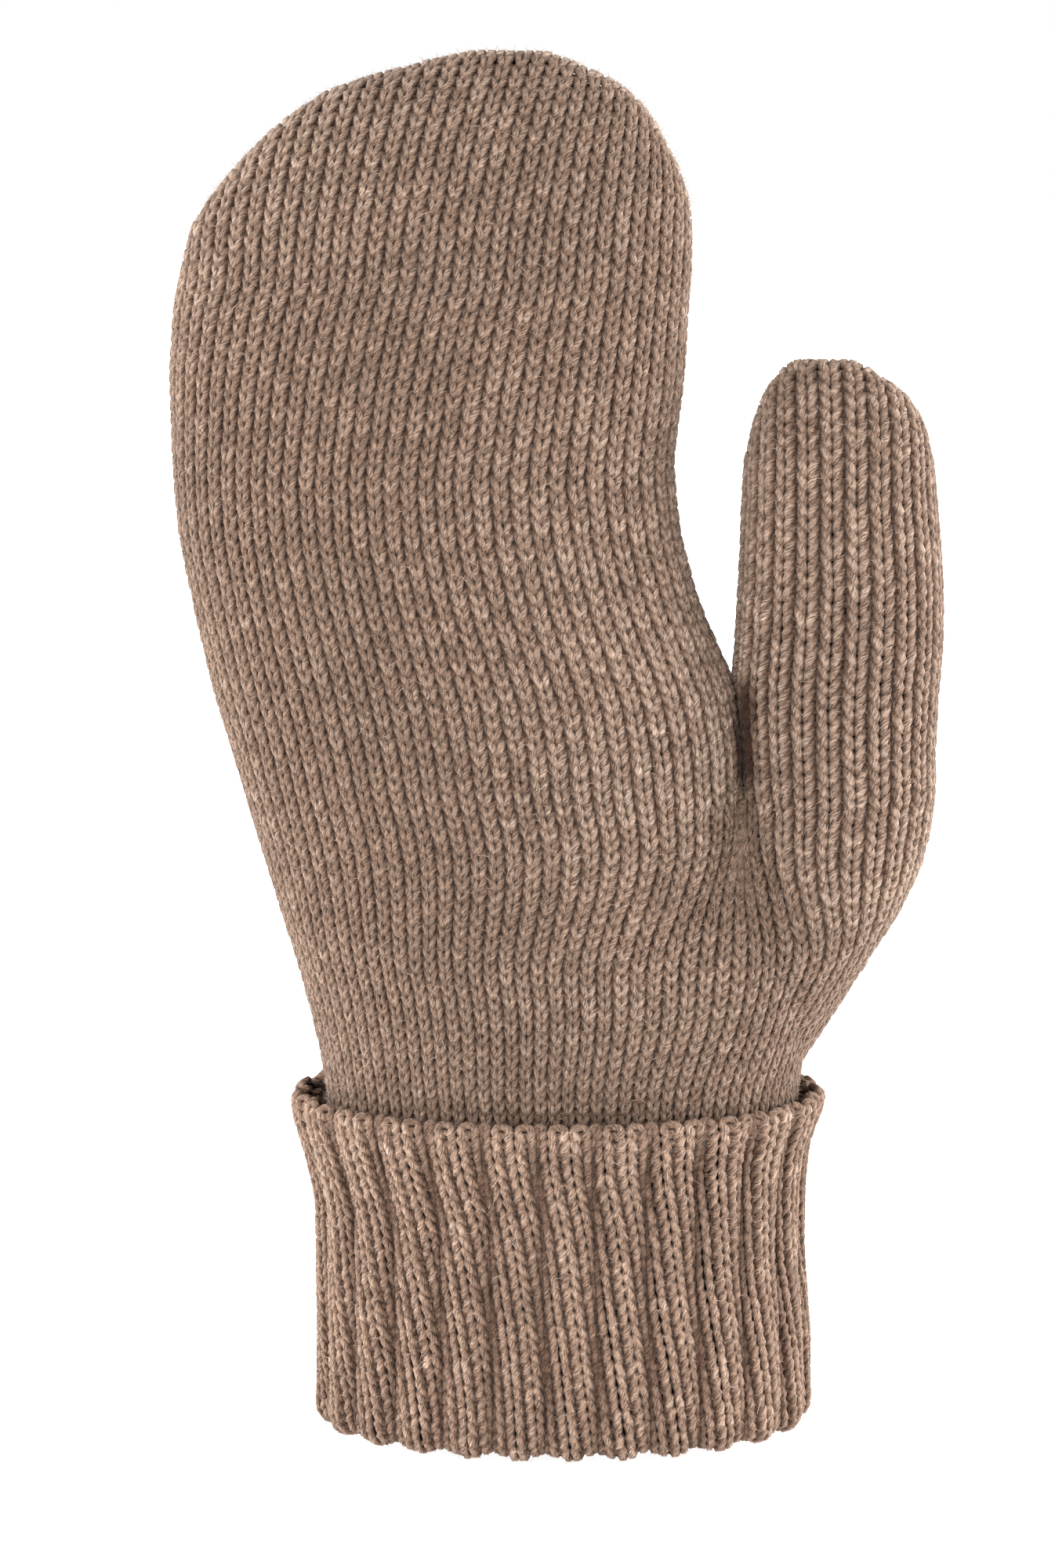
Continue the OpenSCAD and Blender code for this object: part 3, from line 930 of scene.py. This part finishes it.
for name, tube, z0, z1 in (
    ("wrist_inner", palm, 57.0, WRIST_TOP),
    ("gusset_inner", palm, WRIST_TOP, CROTCH),
    ("palm_inner", hand, CROTCH, HAND_SPLIT),
    ("fingers_inner", hand, HAND_SPLIT, HAND_TOP - 0.5),
    ("thumb_inner", thumb, CROTCH, THUMB_SPLIT),
    ("thumb_tip_inner", thumb, THUMB_SPLIT, THUMB_TOP - 0.3),
):
    closed_sheet(name, tube_rings(tube, z0, z1), shade_painted_inner_wool)
closed_sheet("cuff_under", cuff_rings(0.4, cuff.end), cuff_shade_painted_inner_wool, flip=True)
closed_sheet("cuff_inner_ply", inner_ply_rings(11.0, 61.0), shade_painted_inner_wool, 50.0, (220, 50))

# ---------------------------------------------------------------- bodies

WRIST = ("cuff", "palm", (0, 0, 0.066), (0, 0, 0.088))
THUMB_ROOT = ("palm", "thumb", (0.034, 0, 0.121), (0.046, 0, 0.145))
KNUCKLES = ("palm", "fingers", (0, 0, 0.150), (0, 0, 0.170))
CURL = ("fingers", "fingertips", (0, 0, 0.196), (0, 0, 0.214))
THUMB_BEND = ("thumb", "thumb_end", (0.0522, 0, 0.156), (0.0522, 0, 0.173))

for names, how in (
    (("wrist_front", "wrist_back", "wrist_inner"), WRIST),
    (("gusset_front", "gusset_back", "gusset_inner"), THUMB_ROOT),
    (("palm_front", "palm_back", "palm_inner"), KNUCKLES),
    (("fingers_front", "fingers_back", "fingers_inner"), CURL),
    (("thumb_lower", "thumb_inner"), THUMB_ROOT),
    (("thumb_upper", "thumb_tip_inner"), THUMB_BEND),
):
    for name in names:
        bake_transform(pieces.get(name) or sheets[name])
for name in ("cuff_front", "cuff_back", "cuff_cast_on"):
    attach(pieces[name], "cuff")
for name in ("cuff_under", "cuff_inner_ply"):
    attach(sheets[name], "cuff")
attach(pieces["tip_linking"], "fingertips")
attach(pieces["thumb_linking"], "thumb_end")

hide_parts("cuff_turnup", "cuff_fold")
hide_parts("cuff_inner")
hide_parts("cuff_edge")
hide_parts("wrist_band")
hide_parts("gusset_shell")
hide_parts("palm_shell", "knuckle_band")
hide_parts("finger_shell", "curl_band", "tip_shell")
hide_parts("tip_seam")
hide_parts("thumb_base", "thumb_shell")
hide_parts("thumb_bend", "thumb_cap")
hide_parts("thumb_seam")

# ---------------------------------------------------------------- stage, light, camera


def glowing_white(name):
    """Matt white that glows enough to look like the photo's background."""
    mat = bpy.data.materials.new(name)
    mat.use_nodes = True
    shader = mat.node_tree.nodes["Principled BSDF"]
    shader.inputs["Base Color"].default_value = (0.80, 0.80, 0.80, 1)
    shader.inputs["Roughness"].default_value = 0.9
    shader.inputs["Specular IOR Level"].default_value = 0.1
    shader.inputs["Emission Color"].default_value = (1, 1, 1, 1)
    shader.inputs["Emission Strength"].default_value = 0.92
    return mat


FLOOR = 4000.0  # half its width, mm
corners = FLOOR * np.array([[-1, -1, 0], [1, -1, 0], [1, 1, 0], [-1, 1, 0]])
floor = mesh_object("floor", corners, np.array([[0, 1, 2, 3]]), smooth_shade=False)
floor.data.materials.append(glowing_white("floor"))

world = bpy.data.worlds.new("studio")
bpy.context.scene.world = world
world.use_nodes = True
background = world.node_tree.nodes["Background"]
background.inputs["Color"].default_value = (1, 1, 1, 1)
background.inputs["Strength"].default_value = 1.0


def look(obj, aim):
    """Turn a light or camera towards a point."""
    way = Vector(aim) - obj.location
    obj.rotation_euler = way.to_track_quat("-Z", "Y").to_euler()


def area_light(name, place, aim, size, power):
    data = bpy.data.lights.new(name, "AREA")
    data.shape, data.size, data.energy = "SQUARE", size, power
    obj = bpy.data.objects.new(name, data)
    bpy.context.scene.collection.objects.link(obj)
    obj.location = place
    look(obj, aim)


area_light("key", (-0.55, -1.1, 1.15), (0, 0, 0.12), 0.7, 14.0)
area_light("fill", (0.9, -0.9, 0.5), (0, 0, 0.12), 0.9, 1.5)
area_light("edge_left", (-1.1, 0.25, 0.35), (0, 0, 0.13), 0.8, 18.0)
area_light("edge_right", (1.1, 0.25, 0.35), (0, 0, 0.13), 0.8, 20.0)

cam_data = bpy.data.cameras.new("camera")
cam = bpy.data.objects.new("camera", cam_data)
bpy.context.scene.collection.objects.link(cam)
AIM = (-0.0055, 0.0, 0.1222)
DISTANCE, TILT, VIEW_HEIGHT = 0.9, math.radians(10), 0.2886  # m; VIEW_HEIGHT is what the picture shows at AIM
SENSOR = 24.0  # mm
cam.location = (AIM[0], -DISTANCE * math.cos(TILT), AIM[2] + DISTANCE * math.sin(TILT))
look(cam, AIM)
cam_data.sensor_fit = "VERTICAL"
cam_data.sensor_height = SENSOR
cam_data.lens = SENSOR * DISTANCE / VIEW_HEIGHT
cam_data.clip_start = 0.01
bpy.context.scene.camera = cam
bpy.context.scene.view_settings.view_transform = "Standard"
bpy.context.scene.view_settings.look = "None"
